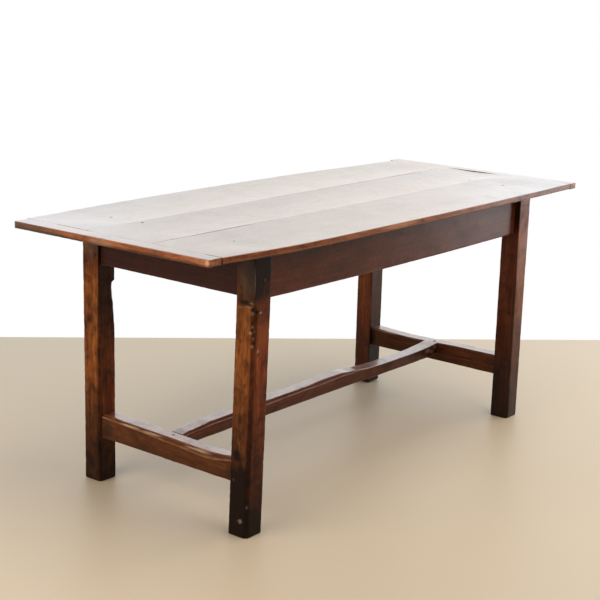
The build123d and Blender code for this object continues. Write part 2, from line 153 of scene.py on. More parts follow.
def waxedOak(name, look):
    material = bpy.data.materials.new(name)
    material.use_nodes = True
    material.node_tree.nodes.clear()
    add = partial(addNode, material.node_tree)
    place = add("TexCoord")
    marks = {key: (add("Attribute", {"attribute_name": key}), "Fac") for key in carried}
    noises = {}
    for kind, (power, detail, roughness, distortion, ownBoard) in woodNoises.items():
        stretch = tuple(s ** power for s in alongGrain[look["grain"]])
        drawn = add("Mapping", {"Scale": stretch}, {"Vector": (place, "Object")})
        texture = add(
            "TexNoise",
            {"noise_dimensions": "4D" if ownBoard else "3D", "Scale": 1 / (look[kind + "Width"] * mm),
             "Detail": detail, "Roughness": roughness, "Distortion": distortion},
            {"Vector": (drawn, "Vector"), **({"W": marks["board"]} if ownBoard else {})})
        noises[kind] = (texture, "Fac")
    patches, spacing = noises["patch"], look["holeSpacing"]
    holes = add("TexVoronoi", {"Scale": 1 / (spacing * mm)}, {"Vector": (place, "Object")})
    rubbing = add("Math", {"operation": "MULTIPLY"}, {0: marks["arris"], 1: patches})
    # Patches break up the edge of the darkening, the dirt and the painted shade alike.
    ragged = add("Math", {"operation": "MULTIPLY_ADD", 1: look["darkEdge"], 2: -0.5 * look["darkEdge"]},
                 {0: patches})
    darkMask = add("Math", {"operation": "ADD", "use_clamp": True},
                  {0: marks["grime"], 1: (ragged, "Value")})

    wood = add("ValToRGB", None, {"Fac": noises["ring"]})
    ramp = wood.color_ramp.elements
    ramp.new(0.5)
    for element, position, code in zip(ramp, (0.33, 0.5, 0.7), look["wood"]):
        element.position, element.color = position, linear(code)
    # Layers over the bare wood: source, value where one starts, value where it is full, strength, way
    # of mixing, colour. Worm holes are about 5 mm wide.
    layers = (
        (noises["cloud"], 0.46, 0.66, look["fading"], "MIX", look["faded"]),
        (patches, 0.5, 0.72, look["staining"], "MIX", look["stain"]),
        (noises["smudge"], 0.46, 0.68, look["smudging"], "MIX", look["stain"]),
        (noises["pore"], 0.56, 0.68, look["pores"], "MIX", look["pore"]),
        ((holes, "Distance"), 3.2 / spacing, 1.8 / spacing, look["holes"], "MIX", look["pore"]),
        (marks["ruddy"], 0, 1, 1, "MULTIPLY", look["ruddy"]),
        ((rubbing, "Value"), 0.2, 0.6, look["rubbing"], "MIX", look["rubbed"]),
        ((darkMask, "Value"), 0, 1, 1, "MIX", look["grime"]),
        (marks["bruise"], 0, 1, 1, "MIX", look["bruise"]),
    )
    colour = (wood, "Color")
    for source, start, full, strength, way, code in layers:
        share = add("MapRange", {"From Min": start, "From Max": full, "To Max": strength}, {"Value": source})
        layer = add("Mix", {"data_type": "RGBA", "blend_type": way, "B_Color": linear(code)},
                    {"Factor_Float": (share, "Result"), "A_Color": colour})
        colour = (layer, "Result_Color")

    gloss = add("MapRange", {"From Min": 0.35, "From Max": 0.7, "To Min": look["smooth"],
                             "To Max": look["rough"]}, {"Value": patches})
    relief = add("Math", {"operation": "MULTIPLY_ADD", 1: 0.5},
                 {0: noises["pore"], 2: noises["ring"]})
    bump = add("Bump", {"Strength": look["relief"], "Distance": 0.6 * mm}, {"Height": (relief, "Value")})
    shader = add("BsdfPrincipled",
                 {"IOR": 1.5, "Specular IOR Level": look["sheen"], "Coat Weight": look["wax"],
                  "Coat Roughness": look["waxBlur"], "Coat IOR": 1.45},
                 {"Base Color": colour, "Roughness": (gloss, "Result"), "Normal": (bump, "Normal")})
    add("OutputMaterial", None, {"Surface": (shader, "BSDF")})
    return material


# Wax-polished oak: dark brown, warm where hands and feet rub it, with a soft shine that turns pale at a
# low angle. wood is the grain's dark, middle and light colour.
# The pale mark colour serves bruises and pale specks, and also the painted highlights and painted sheen laid
# on as marks.
baseLook = {
    "grain": "X", "ringWidth": 9, "poreWidth": 2, "patchWidth": 70, "cloudWidth": 120,
    "smudgeWidth": 20, "holeSpacing": 170, "wood": ("#532a12", "#73401c", "#8f5827"),
    "faded": "#945f26", "fading": 0.5, "stain": "#40200f", "staining": 0.7, "smudging": 0.5,
    "pore": "#2c160b", "pores": 0.5, "holes": 0, "ruddy": "#ffd3f0", "rubbed": "#9a5a2e",
    "rubbing": 0.7, "grime": "#150c07", "bruise": "#a39488", "smooth": 0.3, "rough": 0.5,
    "relief": 0.5, "sheen": 0.12, "wax": 0.15, "waxBlur": 0.25, "darkEdge": 0.5,
}
polished = {"wood": ("#4b2e19", "#674326", "#805a36"), "smooth": 0.2, "rough": 0.3, "wax": 1.0,
            "relief": 0.02, "sheen": 0.15, "staining": 0.12, "smudging": 0.05, "pores": 0.15,
            "holes": 0.8, "grime": "#24150e"}
trodden = {"wax": 1.0, "waxBlur": 0.15, "sheen": 0.6}
looks = {
    # quiet brown from above, a pale mirror at a low angle
    "waxPolishedOakTop": {**polished, "patchWidth": 110, "cloudWidth": 200, "waxBlur": 0.12,
                          "fading": 0.8, "faded": "#7a5536"},
    # warm and bare where hands hold the top, so that its edge draws a line
    "handRubbedOakEdge": {"wood": ("#6b3118", "#8c4a26", "#a9633a"), "stain": "#3a1a12",
                          "rubbed": "#c98a60", "wax": 0.35, "waxBlur": 0.2, "bruise": "#d9a27c"},
    # like the top, with the grain across
    "waxPolishedOakCleat": {**polished, "grain": "Y", "waxBlur": 0.14},
    # the palest wood on the table
    # its pale mark colour paints the highlight down the front corner
    "handRubbedOakCleatEdge": {"grain": "Y", "wood": ("#84482a", "#ac6b41", "#c78a59"),
                               "stain": "#4a2a1c", "smudging": 0.4, "rubbed": "#d0956c", "wax": 0.3,
                               "waxBlur": 0.2, "bruise": "#e9bb98"},
    # dull, blotched orange brown that goes black at the foot
    "handRubbedOakLeg": {"grain": "Z", "wood": ("#653419", "#8a4f24", "#ab6b31"), "faded": "#b17330",
                         "patchWidth": 45, "smudging": 0.55, "darkEdge": 0.6, "wax": 0.05,
                         "sheen": 0.08, "grime": "#1c0e09"},
    # the same wood, more even
    "smokedOakFarLeg": {"grain": "Z", "wood": ("#65331a", "#874b25", "#a46530"), "faded": "#a8692f",
                        "patchWidth": 90, "smudging": 0.3, "darkEdge": 0.3},
    # dark red brown with a grey shine under the top
    "agedOakLongRail": {"wood": ("#442317", "#552d1c", "#673825"), "faded": "#673924",
                        "smooth": 0.25, "rough": 0.4, "wax": 0.18, "waxBlur": 0.18},
    # nearly black: dark wood painted darker still as shade under the overhang of the top
    "shadeDarkOakEndRail": {"grain": "Y", "wood": ("#271512", "#351d18", "#46281f"), "faded": "#462a24",
                       "wax": 0.1},
    # treads that feet keep pale and glossy, over sides that stay dark
    "footPolishedOakEndTread": {**trodden, "grain": "Y", "wood": ("#7a4424", "#96592f", "#b0733f")},
    # its pale mark colour paints the highlights along the bevels and arrises
    "agedOakEndStretcher": {"grain": "Y", "wood": ("#3b1d0b", "#532b10", "#6a4218"),
                            "faded": "#6e431c", "rubbed": "#b98460", "rubbing": 0.8,
                            "bruise": "#d8b79c", "waxBlur": 0.18},
    "footPolishedOakMiddleTread": {**trodden, "wood": ("#6e3f24", "#8a5230", "#a26a40")},
    "agedOakMiddleStretcher": {"wood": ("#391d11", "#502a18", "#683a21"), "faded": "#6c4125",
                               "rubbed": "#b9866a", "rubbing": 0.8, "smudging": 0.6},
    # dark dots of end grain
    "darkOakPeg": {"wood": ("#2c1810", "#3d2216", "#50301f")},
}
finishes = {name: waxedOak(name, {**baseLook, **look}) for name, look in looks.items()}
print("stage: finishes", len(finishes))

# In place of an arris: unworn wood inside a joint, and the edge of a shut joint, which wears straight
# down with its faces.
hidden, level = -1.0, -0.5


def section(u0, u1, v0, v1, corners, counts, bends=4, sides=None, guard=0):
    # Ring of one cross-section, as points of (u, v, how near an arris). corners are (cut along u, cut
    # along v, roundness) from the low-u low-v one on, counts the points along a u and a v side, sides
    # the points of a side that isn't plain, 1 for high u and 3 for low u. A guard is how close to a
    # corner a plain side has a point, which keeps its face flat.
    ring = []
    ends = ((u0, v0, 1, 1), (u1, v0, -1, 1), (u1, v1, -1, -1), (u0, v1, 1, -1))
    for k, (u, v, su, sv) in enumerate(ends):
        cu, cv, roundness = corners[k]
        upward = k % 2 == 0
        first, last = ((0, cv), (cu, 0)) if upward else ((cu, 0), (0, cv))
        for i in range(bends + 1):
            t = i / bends
            angle = t * pi / 2
            arc = (1 - cos(angle), 1 - sin(angle)) if upward else (1 - sin(angle), 1 - cos(angle))
            # A corner under 3 mm is one arris, a chamfer over 6 mm has one at each edge.
            edge = abs(2 * t - 1)
            ring.append((u + su * mix(mix(first[0], last[0], t), cu * arc[0], roundness),
                         v + sv * mix(mix(first[1], last[1], t), cv * arc[1], roundness),
                         mix(1 - 0.7 * edge, edge, ease((min(cu, cv) - 3) / 3))))
        if sides and k in sides:
            ring.extend((su, sv, hidden) for su, sv in sides[k])
            continue
        nu, nv, nsu, nsv = ends[(k + 1) % 4]
        ncu, ncv, _ = corners[(k + 1) % 4]
        start, stop = ring[-1], (nu + nsu * ncu * upward, nv + nsv * ncv * (not upward))
        near = guard / (abs(stop[0] - start[0]) + abs(stop[1] - start[1]))
        for i in range(1, counts[k % 2] + 1):
            t = i / (counts[k % 2] + 1)
            t = mix(t, 0.5 - 0.5 * cos(pi * t), 0.5)
            if guard and i in (1, counts[k % 2]):
                t = near if i == 1 else 1 - near
            ring.append((mix(start[0], stop[0], t), mix(start[1], stop[1], t), 0.0))
    return ring


def plug(u0, u1, v0, v1, counts, bends=4, sides=None):
    # A tenon's plain rectangle with hardly any arris, and as many points as a section.
    grid = {k: [(u1 if k == 1 else u0, mix(v0, v1, t if k == 1 else 1 - t)) for t in sides[k]]
            for k in sides or ()}
    ring = section(u0, u1, v0, v1, [(0.3, 0.3, 0.0)] * 4, counts, bends, grid)
    return [(u, v, hidden) for u, v, _ in ring]


def member(axis, places, sectionAt, lowTenon, highTenon):
    # Rings of a member along axis 0, 1 or 2, with a tenon of (reach, ring) beyond each end.
    rows = [(places[0] - lowTenon[0], lowTenon[1]), (places[0], lowTenon[1])]
    rows += [(at, sectionAt(at)) for at in places]
    rows += [(places[-1], highTenon[1]), (places[-1] + highTenon[0], highTenon[1])]
    order = ((0, 1, 2), (1, 0, 2), (1, 2, 0))[axis]
    return [[(*[(at, u, v)[k] for k in order], arris) for u, v, arris in ring] for at, ring in rows]


# Points closer than weld are one, edges from sharpAngle on stay crisp, and a face whose normal's z
# reaches upward takes the first of a piece's two finishes.
surface = {"weld": 0.002, "sharpAngle": 32, "upward": 0.85}


def tidyMesh(mesh, gap=0):
    # Turns every face outward and closes up points that fall on one place.
    tool = bmesh.new()
    tool.from_mesh(mesh)
    if gap:
        bmesh.ops.remove_doubles(tool, verts=tool.verts, dist=gap)
    bmesh.ops.recalc_face_normals(tool, faces=tool.faces)
    tool.to_mesh(mesh)
    tool.free()


def buildPiece(node, shells, finish, wear, shade, board):
    # Shells are closed skins, each a list of rings of (x, y, z, arris). wear(place, arris) gives the depth
    # worn off and how pale and how dark its marks make it (bruises and dirt, and some painted highlights and
    # painted shade), and shade(place, normal) the darkening around it, partly dirt and partly painted shade,
    # and its redness.
    vertices, faces, arrises = [], [], []
    for shell in shells:
        first, count = len(vertices), len(shell[0])
        vertices.extend(Vector(point[:3]) * mm for ring in shell for point in ring)
        arrises.extend(point[3] for ring in shell for point in ring)
        for r in range(len(shell) - 1):
            low, high = first + r * count, first + (r + 1) * count
            faces.extend((low + p, low + (p + 1) % count, high + (p + 1) % count, high + p)
                         for p in range(count))
        last = first + (len(shell) - 1) * count
        faces.append(tuple(first + p for p in reversed(range(count))))
        faces.append(tuple(last + p for p in range(count)))
    mesh = bpy.data.meshes.new(node + "_oak")
    mesh.from_pydata(vertices, [], faces)
    tidyMesh(mesh)
    for key in carried:
        mesh.attributes.new(key, "FLOAT", "POINT")
    normals = [v.normal.copy() for v in mesh.vertices]
    for v, normal, arris in zip(mesh.vertices, normals, arrises):
        place = v.co / mm
        depth, bruise, markDark = (0.0, 0.0, 0.0) if arris == hidden else wear(place, max(0, arris))
        darkening, ruddy = shade(place, normal)
        v.co -= (Vector((0, 0, 1)) if arris == level else normal) * depth * mm
        for key, value in zip(carried, (max(0, arris), darkening + markDark, ruddy, bruise, board)):
            mesh.attributes[key].data[v.index].value = value
    tidyMesh(mesh, surface["weld"] * mm)
    mesh.shade_smooth()
    mesh.set_sharp_from_angle(angle=radians(surface["sharpAngle"]))
    for name in finish:
        mesh.materials.append(finishes[name])
    for face in mesh.polygons:
        face.material_index = len(finish) - 1 if face.normal.z < surface["upward"] else 0
    piece = addObject(node + "_oak", mesh)
    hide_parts(node)
    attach(piece, "root")


def dent(place, marks):
    # Round or drawn-out marks: (x, y, z), (rx, ry, rz), then depth, paleness and darkness.
    depth, pale, dark = 0.0, 0.0, 0.0
    for at, size, deep, paleness, darkness in marks:
        reach = sum(((place[i] - at[i]) / size[i]) ** 2 for i in range(3))
        if reach < 1:
            share = (1 - reach) ** 2
            depth += deep * share
            pale = max(pale, paleness * min(1, 1.6 * share))
            dark = max(dark, darkness * min(1, 1.6 * share))
    return depth, pale, dark


# Nicks on an arris: their size, how rare they are from 0 to 1, and their depth.
nicks = {"size": 14, "rare": 0.55, "depth": 2.2}


def handWork(tracks, swells, seed, marks=(), run=(260, 90, 260)):
    # Wear of a planed and handled board: the depths of the plane's shallow tracks and of slow swells,
    # and a swell's length along x, y and z.
    def wear(place, arris):
        swell = uneven(*(c / r for c, r in zip(place, run)), seed)
        track = uneven(*(3 * c / r for c, r in zip(place, run)), seed + 7.3)
        nick = max(0, uneven(*(c / nicks["size"] for c in place), seed + 3.1) - nicks["rare"])
        depth, pale, dark = dent(place, marks)
        return (swells * swell + tracks * track + arris * nick * nicks["depth"] + depth, pale, dark)
    return wear


def darkByHeight(piece, z):
    # Darkening that grows from one height to another: painted shade under the top, the cleats and the
    # rails' upper part, and darker towards the bottom on the stretchers' sides.
    start, full = piece["darkFrom"], piece["darkFull"]
    return piece["darkening"] * ease((z - start) / (full - start))


# Widths of the legs' arrises and chamfers by height.
wornArris = ((0, 2.5), (560, 2), (615, 1.6))
evenArris = ((0, 1.8), (741, 1.8))
stoppedChamfer = ((0, 9.3), (310, 8.5), (430, 7.8), (500, 5.5), (548, 3), (584, 1.8))
# Each leg has its corners from the low-x low-y one on, and its darkening by height on the faces that
# look along x and along y: dirt and painted shade at the foot, and painted shade right under the top and
# on faces turned in under the table. The rest is as in plainLeg: lean is how far the foot stands out,
# foot its rounding, spread how much wider one side is, and fine a range of closer rings, (from, to, gap).
plainLeg = {"lean": 0, "foot": 3, "spread": 0, "finish": "handRubbedOakLeg", "gap": 7,
            "fine": (0, 0, 7), "marks": ()}
legs = {
    "side": 61, "height": 741, "chamferTop": 615, "points": (9, 9), "bends": 6, "chamferShade": 0.62,
    "footSteps": (0, 0.15, 0.45, 1),
    "front_left": {
        "x": -637.5, "y": -279.5, "seed": 1, "lean": -19, "gap": 4, "fine": (506, 626, 2),
        "corners": (
            ((0, 9.7), (185, 10.5), (500, 11), (541, 13.6), (578, 14.9), (600, 12), (615, 2)),
            wornArris, ((0, 1.6), (741, 1.6)), wornArris,
        ),
        "dirtAndShadeX": ((0, 1.2), (90, 1.2), (170, 1.05), (200, 0.8), (255, 0.62), (365, 0.3), (440, 0.08),
                  (500, 0), (570, 0.02), (596, 0.1), (620, 0.68), (665, 0.6), (741, 1.0)),
        "dirtAndShadeY": ((0, 1.1), (70, 1.02), (110, 0.85), (255, 0.68), (365, 0.5), (470, 0.2), (540, 0.42),
                  (600, 0.7), (640, 0.95), (692, 1.05), (741, 1.2)),
        "ruddy": (0.1, 0.95),
        "marks": (
            # The first mark, the notch across the leg, is darkened as painted shade inside it.
            ((-668, -280, 613), (10, 30, 9), 0.5, 0, 0.42), ((-668, -262, 600), (8, 20, 3), 0, 0.2, 0),
            ((-668, -290, 604), (8, 16, 3), 0, 0.3, 0), ((-668, -297, 615), (7, 5, 4), 0.4, 0.7, 0),
            ((-668, -300, 599), (8, 10, 7), 0.9, 0, 0.4), ((-669, -303, 588), (8, 8, 10), 1.0, 0.35, 0.2),
            ((-645, -310, 590), (7, 6, 3), 0.3, 0.8, 0), ((-658, -309, 594), (5, 6, 6), 1.2, 0, 0.6),
            ((-669, -304, 577), (6, 6, 5), 0.4, 0.55, 0), ((-669, -303, 566), (6, 6, 5), 0.8, 0, 0.4),
            ((-669, -304, 556), (6, 6, 5), 0.5, 0.75, 0), ((-669, -302, 547), (6, 7, 4), 0.9, 0, 0.5),
            ((-670, -297, 540), (6, 5, 6), 0.6, 0.6, 0), ((-666, -309, 545), (6, 6, 6), 0.5, 0.6, 0),
            ((-667, -306, 534), (6, 5, 4), 0.9, 0, 0.5), ((-668, -306, 526), (6, 5, 6), 0.5, 0.7, 0),
            ((-667, -307, 515), (6, 6, 5), 0.7, 0, 0.35), ((-669, -303, 506), (5, 5, 6), 0.3, 0.5, 0),
            ((-653, -310, 492), (5, 5, 5), 0.4, 0.7, 0), ((-651, -310, 484), (5, 5, 6), 0.4, 0, 0.35),
            ((-670, -278, 540), (8, 7, 22), 0.2, 0, 0.45), ((-670, -254, 535), (8, 9, 22), 0, 0, 0.4),
            ((-675, -286, 403), (7, 7, 8), 0.3, 0, 0.6), ((-678, -276, 312), (8, 10, 16), 0.2, 0, 0.35),
            ((-680, -270, 218), (8, 14, 24), 0.2, 0, 0.3), ((-686, -288, 44), (8, 8, 7), 1.2, 0.7, 0),
            ((-684, -309, 85), (8, 7, 6), 1.2, 0.7, 0), ((-686, -296, 36), (8, 7, 7), 0.8, 0, 0.9),
            # The last three marks are painted light: a painted highlight down the arris under the top,
            # painted shade beside it, and a faint grey painted sheen with some painted shade over the top of
            # the face.
            ((-668, -310, 674), (2.1, 2.1, 62), 0, 0.4, 0), ((-668, -296, 700), (8, 18, 90), 0, 0, 0.3),
            ((-668, -284, 682), (9, 42, 80), 0, 0.1, 0.1),
        ),
    },
    "back_left": {
        "x": -637.5, "y": 279.5, "seed": 2, "gap": 6, "fine": (480, 600, 3),
        "corners": (
            ((0, 8.6), (310, 8.5), (430, 7.6), (500, 5), (550, 2.5), (600, 1.8)),
            ((0, 2.5), (425, 2.4), (470, 4.5), (502, 8), (529, 13), (552, 13.4), (566, 12), (576, 2)),
            evenArris, wornArris,
        ),
        "dirtAndShadeX": ((0, 0.95), (48, 0.88), (150, 0.75), (242, 0.48), (300, 0.15), (390, 0), (430, 0.2),
                  (500, 0.15), (565, 0), (630, 0.35), (690, 0.6), (725, 0.75)),
        "dirtAndShadeY": ((0, 0.98), (48, 0.95), (242, 0.55), (371, 0.52), (440, 0.75), (520, 0.88), (741, 0.95)),
        "ruddy": (0.2, 0.7),
        "marks": (
            ((-668, 283, 471), (8, 22, 22), 0.6, 0, 0.55), ((-668, 304, 446), (8, 14, 18), 0.5, 0, 0.5),
            ((-668, 264, 446), (8, 10, 14), 0.3, 0, 0.45), ((-668, 290, 520), (8, 14, 30), 0.6, 0, 0.3),
            # The last mark is a faint grey painted sheen over the top of the leg.
            ((-668, 280, 690), (8, 50, 70), 0, 0.12, 0),
        ),
    },
    "front_right": {
        "x": 637.5, "y": -279.5, "seed": 3, "finish": "smokedOakFarLeg",
        "corners": (stoppedChamfer, wornArris, wornArris, evenArris),
        "dirtAndShadeX": ((0, 0.95), (60, 0.92), (234, 0.78), (409, 0.5), (549, 0.5), (680, 0.85)),
        "dirtAndShadeY": ((0, 0.92), (60, 0.88), (200, 0.68), (409, 0.28), (650, 0.28)),
        "ruddy": (0.9, 0.5),
        "marks": (((645, -310, 640), (7, 5, 8), 1.2, 0, 0.7),),
    },
    "back_right": {
        "x": 637.5, "y": 279.5, "seed": 4, "finish": "smokedOakFarLeg", "foot": 8, "spread": 3.5,
        "corners": (evenArris, wornArris, stoppedChamfer, wornArris),
        "dirtAndShadeX": ((0, 0.8), (100, 0.68), (300, 0.34), (500, 0.28), (700, 0.6)),
        "dirtAndShadeY": ((0, 1.15), (150, 1.02), (300, 0.78), (741, 0.8)),
        "ruddy": (0.6, 0.7),
    },
}


def legShade(leg):
    # Feet are blackened by mops and floor wax, darkened further by painted shade; right under the top and in
    # the chamfers the wood is darkened as painted shade.
    def shade(place, normal):
        share = normal.x ** 2 / max(1e-6, normal.x ** 2 + normal.y ** 2)
        darkening = mix(follow(leg["dirtAndShadeY"], place.z), follow(leg["dirtAndShadeX"], place.z), share)
        # a chamfer, turned between the two faces, gets extra painted shade
        slant = ease(2.4 * (1 - abs(2 * share - 1)))
        redness = mix(leg["ruddy"][1], leg["ruddy"][0], share)
        return darkening + legs["chamferShade"] * slant * (1 - darkening), redness
    return shade


def makeLeg(name, leg):
    half, rings = legs["side"] / 2, []
    low, high, gap = leg["fine"]
    places = [leg["foot"] * s for s in legs["footSteps"]]
    places += [low + gap * i for i in range(int((high - low) / gap) + 1)]
    for z in steps(0, legs["height"], leg["gap"], places):
        tuck = roundOff(leg["foot"], z)
        x = leg["x"] + leg["lean"] * max(0, 1 - z / legs["chamferTop"])
        corners = []
        for k, table in enumerate(leg["corners"]):
            size = handCut(follow(table, z), 0.14, z / 45, k * 5, leg["seed"])
            # A chamfer is cut flat, an arris is worn round.
            corners.append((size, size, 0.35 if size > 4 else 0.8))
        ring = section(x - half - leg["spread"] + tuck, x + half - tuck,
                       leg["y"] - half + tuck, leg["y"] + half - tuck,
                       corners, legs["points"], legs["bends"])
        rings.append([(u, v, z, arris) for u, v, arris in ring])
    wear = handWork(0.35, 0.5, leg["seed"], leg["marks"])
    buildPiece("leg_" + name, [rings], [leg["finish"]], wear, legShade(leg), leg["seed"])


for name in ("front_left", "back_left", "front_right", "back_right"):
    makeLeg(name, {**plainLeg, **legs[name]})
print("stage: legs")

rails = {
    "long": {"axis": 0, "half": 607, "low": 615, "middle": 280.5, "sag": 4, "tenon": 42,
             "points": (2, 14), "finish": "agedOakLongRail"},
    "end": {"axis": 1, "half": 249, "low": 624, "middle": 646.5, "sag": 0, "tenon": 24,
            "points": (2, 13), "finish": "shadeDarkOakEndRail"},
    "high": 741, "thickness": 24, "tenonRise": 12, "tenonHigh": 715, "tenonThick": 10,
    "tenonSetback": 6, "lowArris": 2.2, "highArris": 0.8, "gap": 10,
    # the rail's upper part darkens as painted shade under the overhang of the top
    "darkening": 0.5, "darkFrom": 670, "darkFull": 730, "ruddy": 0.4,
    "marks": (((-360, -292, 680), (260, 16, 90), 0, 0, 0.2), ((40, -292, 650), (90, 16, 40), 0.3, 0, 0.12),
              ((330, -292, 655), (120, 16, 30), 0.3, 0, 0.12)),
}


def railShade(place, normal):
    return darkByHeight(rails, place.z), rails["ruddy"]


def makeRail(name, rail, side, seed):
    half, thick, middle = rail["half"], rails["thickness"] / 2, side * rail["middle"]

    def sectionAt(along):
        bend = 1 - (along / half) ** 2
        worn = handCut(rails["lowArris"], 0.2, along / 60, seed, 0)
        corners = [(worn, worn, 0.8)] * 2 + [(rails["highArris"], rails["highArris"], 0.8)] * 2
        return section(middle - thick, middle + thick, rail["low"] - rail["sag"] * bend,
                       rails["high"], corners, rail["points"])

    cheek = middle + side * (thick - rails["tenonSetback"])
    near, far = sorted((cheek, cheek - side * rails["tenonThick"]))
    tenonLow = rail["low"] + rails["tenonRise"]
    tenon = (rail["tenon"], plug(near, far, tenonLow, rails["tenonHigh"], rail["points"]))
    rings = member(rail["axis"], steps(-half, half, rails["gap"]), sectionAt, tenon, tenon)
    wear = handWork(0.4, 0.5, seed, rails["marks"])
    buildPiece("rail_" + name, [rings], [rail["finish"]], wear, railShade, seed)


makeRail("front", rails["long"], -1, 5)
makeRail("back", rails["long"], 1, 6)
makeRail("left", rails["end"], -1, 7)
makeRail("right", rails["end"], 1, 8)
print("stage: rails")

# The top's ends aren't square: left and right have (front, back) values, for y -375 and 375.
top = {
    "low": 741, "high": 760, "half": 375, "shoulders": ((820, 827), (827, 831)),
    "ends": ((865, 878), (870, 878)), "joints": (-112, 118),
    # half of a joint's gap where it is shut and where it has opened, and how open it is along x
    "gapShut": 0.03, "gapOpen": 1.0, "arrisShut": 0.06, "arrisOpen": 1.1,
    "open": (((-821, 0.3), (-720, 0.5), (-640, 1), (-500, 1), (-430, 0.3), (-350, 0), (820, 0)),
             ((-821, 0), (-200, 0), (-60, 0.4), (440, 0.5), (480, 1), (643, 1), (680, 0.2), (820, 0))),
    # how far the middle of each board has sunk as it dried
    "cup": 3,
    # y, and the height of the hollow board there
    "pegHeads": ((-220, 756.9), (-96, 759.1), (102, 759.1), (220, 756.9)),
    "tongueLow": 747.25, "tongueHigh": 753.75, "endTongue": 20, "edgeTongue": 8, "play": 0.15,
    "gap": 9, "points": (24, 3), "guard": 1.2,
    # painted shade on the long edges, by x
    "edgeShade": ((-820, 0.12), (-150, 0), (50, 0.1), (350, 0.3), (820, 0.32)),
    # Painted shade darkens the underside and the foot of the edges; an open joint's line is darker within a
    # reach.
    "darkening": 0.6, "darkFrom": 751, "darkFull": 744, "lineDark": 2.6, "ruddy": 0.25,
    "lowArris": (6, 6, 1), "highArris": (2.2, 2, 1),
    # half the length that the joints' tables follow, the wood beside a tongue or groove, and how far
    # from a joint its arrises reach
    "reach": 824, "lip": 2, "arrisZone": 1.15,
    # share of the way to the shoulder, share of half the width
    "frontBow": ((-1, 0.907), (-0.69, 0.979), (-0.18, 0.998), (0.3, 1), (0.67, 0.985), (1, 0.968)),
    "backBow": ((-1, 0.925), (-0.57, 0.981), (-0.1, 1), (0.41, 0.981), (0.77, 0.927), (1, 0.909)),
    "marks": (
        ((-659, -219, 760), (14, 8, 6), 0.4, 0, 0.5), ((-152, -375, 753), (110, 14, 9), 0.3, 0.35, 0),
        ((-300, -375, 758), (30, 7, 6), 1.6, 0.1, 0), ((180, -377, 757), (45, 6, 6), 1.2, 0.1, 0),
        ((520, -370, 758), (24, 6, 6), 1.8, 0.1, 0),
    ),
}
cleats = {
    "left": {"end": -1, "front": 338, "back": 341, "seed": 14,
             "open": ((-342, 1), (-300, 1), (-270, 0), (90, 0), (120, 0.8), (215, 0.8), (240, 0)),
             # The first mark is a painted highlight down the rounded front corner; the third darkens the far
             # end of the edge and greys it with a faint painted sheen.
             "marks": (((-865, -333, 752), (5, 7, 11), 0.2, 0.75, 0),
                       ((-841, -338, 750), (21, 4, 16), 0, 0, 0.85),
                       ((-875, 290, 749), (16, 225, 20), 0, 0.1, 0.76),
                       ((-870, 20, 751), (12, 62, 12), 0, 0.2, 0))},
    "right": {"end": 1, "front": 363, "back": 350, "seed": 15,
              "open": ((-363, 1), (-340, 0.9), (-320, 0), (-90, 0), (-65, 1), (65, 1), (90, 0)),
              "marks": ()},
    # how far the boards have shrunk from the cleat where the line is shut and where it is open
    "shrinkage": (0.06, 1.2), "corner": 7, "softEnd": 1.8, "arris": 2.4, "tongueStop": 26,
    "points": (7, 3), "gap": 7, "endSteps": (0.3, 0.9, 1.8, 4),
    # Painted shade darkens the cleat's underside, and an open shoulder line is darker within a reach.
    "darkening": 0.7, "darkFrom": 750, "darkFull": 744, "lineDark": 3,
}


def across(values, y):
    return mix(values[0], values[1], (y + top["half"]) / (2 * top["half"]))


def shoulder(end, y):
    return across(top["shoulders"][end > 0], y)


def jointSide(edge, depth, play):
    # Points up a jointed side, with a tongue or groove that reaches a depth along u.
    low, high = top["tongueLow"] - play, top["tongueHigh"] + play
    return [(edge, low - top["lip"]), (edge, low), (edge + depth, low),
            (edge + depth, high), (edge, high), (edge, high + top["lip"])]


def aboveTongue(z):
    return z > top["tongueHigh"] + top["lip"]


def jointArris(arris, away, openness, z):
    # Only an open joint has its arrises worn and nicked.
    if arris < 0 or abs(away) > top["arrisZone"]:
        return arris
    return level if openness < 0.05 and aboveTongue(z) else arris * openness


def topShade(place, normal):
    # Darker in the open lines of the joints, with painted shade on the underside and on the long edges.
    line = max((1 - ease(abs(place.y - joint) / top["lineDark"])) * follow(table, place.x)
               for joint, table in zip(top["joints"], top["open"]))
    edge = follow(top["edgeShade"], place.x) * ease((748 - place.z) / 7 + 2 * (1 - abs(normal.z)))
    return max(line, darkByHeight(top, place.z), edge), top["ruddy"]


def cleatShade(cleat):
    # Darker along an open shoulder line, with painted shade on the underside.
    def shade(place, normal):
        line = 1 - ease(abs(abs(place.x) - shoulder(cleat["end"], place.y)) / cleats["lineDark"])
        return max(line * follow(cleat["open"], place.y), darkByHeight(cleats, place.z)), top["ruddy"]
    return shade


def topWork(marks):
    # With one seed the swells run on from board to board.
    return handWork(0.15, 0.35, 11, marks, (420, 110, 260))


